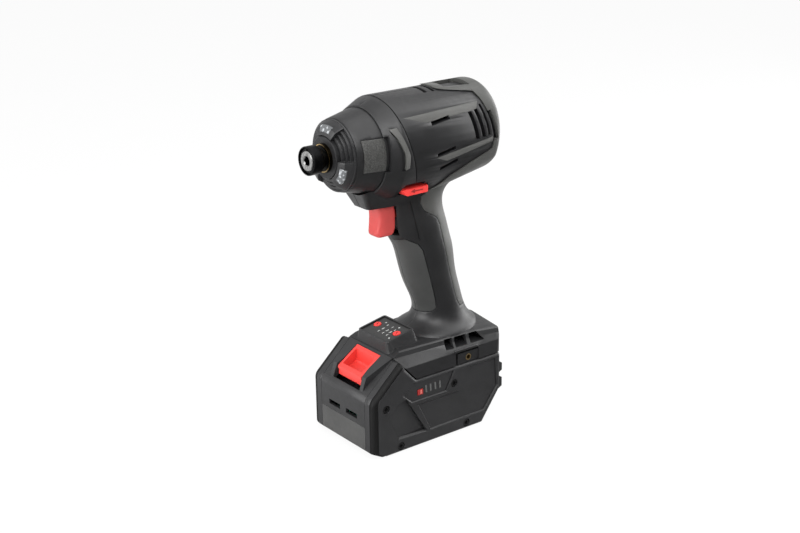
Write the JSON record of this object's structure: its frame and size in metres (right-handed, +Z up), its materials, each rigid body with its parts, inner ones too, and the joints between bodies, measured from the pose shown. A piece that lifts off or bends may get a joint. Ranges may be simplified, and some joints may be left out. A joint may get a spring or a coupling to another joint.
{
  "type": "cordless impact driver",
  "caption": "Cordless impact driver with pistol grip, bit-locking sleeve, light ring, trigger, direction selector and slide-on battery with release latch; holds and drives hexagonal bits.",
  "frame": {"origin": "middle of the battery's resting face", "axes": "+X from the motor end to the bit sleeve, +Y to the left side of the tool, +Z up"},
  "size_m": [0.1492, 0.0766, 0.2608],
  "materials": {
    "shell_plastic": "fine grain",
    "soft_grey": "matte",
    "grip_rubber": "matte",
    "trim_grey": "fine grain",
    "red_plastic": "satin",
    "clear_lens": "clear",
    "dark_steel": "satin",
    "bright_steel": "ground",
    "bronze": "satin",
    "cast_case": "cast",
    "copper_coils": "enamelled",
    "core_steel": "laminated",
    "board_green": "satin",
    "inner_plastic": "plain",
    "panel_black": "satin",
    "pack_plastic": "fine grain",
    "strip_rubber": "matte",
    "cell_wrap": "satin",
    "nickel": "satin",
    "black_screw": "satin",
    "gauge_white": "satin"
  },
  "bodies": {
    "housing": {"housing_left": "shell_plastic", "housing_right": "shell_plastic", "rear_soft_cover": "soft_grey", "grip_insert": "grip_rubber", "side_trims": "trim_grey", "front_cover": "shell_plastic", "light_ring": "shell_plastic", "light_lenses": "clear_lens", "light_board": "board_green", "hammer_case": "cast_case", "anvil_bush": "bronze", "ring_gear": "bright_steel", "gear_plate": "cast_case", "bearings": "bright_steel", "stator": "core_steel", "coils": "copper_coils", "trigger_switch": "inner_plastic", "contact_block": "inner_plastic", "contact_blades": "nickel", "control_module": "inner_plastic", "handle_leads": "strip_rubber", "panel_plate": "panel_black", "hook_inserts": "bronze", "housing_screws": "black_screw"},
    "spindle": {"spindle": "bright_steel", "cam_balls": "bright_steel", "planet_pins": "bright_steel", "hammer_spring": "bright_steel"},
    "planet_1": {"planet_gear_1": "bright_steel"},
    "planet_2": {"planet_gear_2": "bright_steel"},
    "planet_3": {"planet_gear_3": "bright_steel"},
    "rotor": {"motor_shaft": "bright_steel", "rotor_core": "core_steel", "fan": "inner_plastic"},
    "anvil": {"anvil": "bright_steel", "detent_balls": "bright_steel", "sleeve_stop": "dark_steel", "sleeve_spring": "bright_steel"},
    "bit_sleeve": {"bit_sleeve": "dark_steel"},
    "spring_seat": {"hammer_washer": "bright_steel"},
    "hammer": {"hammer": "bright_steel"},
    "trigger": {"trigger": "red_plastic"},
    "selector": {"selector": "red_plastic"},
    "left_button": {"left_button": "red_plastic"},
    "right_button": {"right_button": "red_plastic"},
    "battery": {"pack_top": "pack_plastic", "pack_bottom": "pack_plastic", "pack_side_left": "pack_plastic", "pack_side_right": "pack_plastic", "corner_strips": "strip_rubber", "cells": "cell_wrap", "cell_holders": "inner_plastic", "cell_straps": "nickel", "pack_board": "board_green", "pack_contacts": "nickel", "pack_screws": "black_screw", "gauge_lights": "gauge_white", "latch_spring": "bright_steel"},
    "latch": {"latch": "red_plastic"},
    "gauge_button": {"gauge_button": "red_plastic"}
  },
  "joints": [
    {"name": "spindle_spin", "type": "hinge", "parent": "housing", "child": "spindle", "pos_m": [0, 0, 0.2225], "axis": [1, 0, 0], "continuous": true},
    {"name": "rotor_spin", "type": "hinge", "parent": "housing", "child": "rotor", "pos_m": [-0.03, 0, 0.2225], "axis": [1, 0, 0], "continuous": true},
    {"name": "planet_1_spin", "type": "hinge", "parent": "spindle", "child": "planet_1", "pos_m": [0, 0, 0.23465], "axis": [1, 0, 0], "continuous": true},
    {"name": "planet_2_spin", "type": "hinge", "parent": "spindle", "child": "planet_2", "pos_m": [0, -0.01052, 0.21643], "axis": [1, 0, 0], "continuous": true},
    {"name": "planet_3_spin", "type": "hinge", "parent": "spindle", "child": "planet_3", "pos_m": [0, 0.01052, 0.21643], "axis": [1, 0, 0], "continuous": true},
    {"name": "anvil_spin", "type": "hinge", "parent": "housing", "child": "anvil", "pos_m": [0.06, 0, 0.2225], "axis": [1, 0, 0], "continuous": true},
    {"name": "sleeve_pull", "type": "slide", "parent": "anvil", "child": "bit_sleeve", "axis": [1, 0, 0], "range_m": [0, 0.0024], "stiffness_N_per_m": 900, "springref_m": -0.001, "deforming": ["sleeve_spring"]},
    {"name": "hammer_retreat", "type": "slide", "parent": "spindle", "child": "spring_seat", "axis": [-1, 0, 0], "range_m": [0, 0.008], "stiffness_N_per_m": 2500, "springref_m": -0.004, "deforming": ["hammer_spring"]},
    {"name": "hammer_turn", "type": "hinge", "parent": "spring_seat", "child": "hammer", "pos_m": [0.03, 0, 0.2225], "axis": [1, 0, 0], "range_deg": [-40, 0]},
    {"name": "trigger_pull", "type": "slide", "parent": "housing", "child": "trigger", "axis": [-1, 0, 0], "range_m": [0, 0.006], "stiffness_N_per_m": 900, "springref_m": -0.002},
    {"name": "selector_slide", "type": "slide", "parent": "housing", "child": "selector", "axis": [0, 1, 0], "range_m": [-0.003, 0.003]},
    {"name": "left_button_press", "type": "slide", "parent": "housing", "child": "left_button", "axis": [-0.184, 0, -0.9829], "range_m": [0, 0.0006], "stiffness_N_per_m": 1500, "springref_m": -0.0006},
    {"name": "right_button_press", "type": "slide", "parent": "housing", "child": "right_button", "axis": [-0.184, 0, -0.9829], "range_m": [0, 0.0006], "stiffness_N_per_m": 1500, "springref_m": -0.0006},
    {"name": "battery_slide", "type": "slide", "parent": "housing", "child": "battery", "axis": [1, 0, 0], "range_m": [0, 0.09]},
    {"name": "latch_press", "type": "slide", "parent": "battery", "child": "latch", "axis": [0, 0, -1], "range_m": [0, 0.004], "stiffness_N_per_m": 1200, "springref_m": -0.002, "deforming": ["latch_spring"]},
    {"name": "gauge_press", "type": "slide", "parent": "battery", "child": "gauge_button", "axis": [0, -1, 0], "range_m": [0, 0.0006], "stiffness_N_per_m": 1200, "springref_m": -0.0006}
  ],
  "couplings": [
    {"joint": "rotor_spin", "follows": "spindle_spin", "ratio": 4.5},
    {"joint": "anvil_spin", "follows": "spindle_spin", "ratio": 1},
    {"joint": "hammer_turn", "follows": "hammer_retreat", "rad_per_m": -87.266},
    {"joint": "planet_1_spin", "follows": "spindle_spin", "ratio": -2.8},
    {"joint": "planet_2_spin", "follows": "spindle_spin", "ratio": -2.8},
    {"joint": "planet_3_spin", "follows": "spindle_spin", "ratio": -2.8}
  ]
}
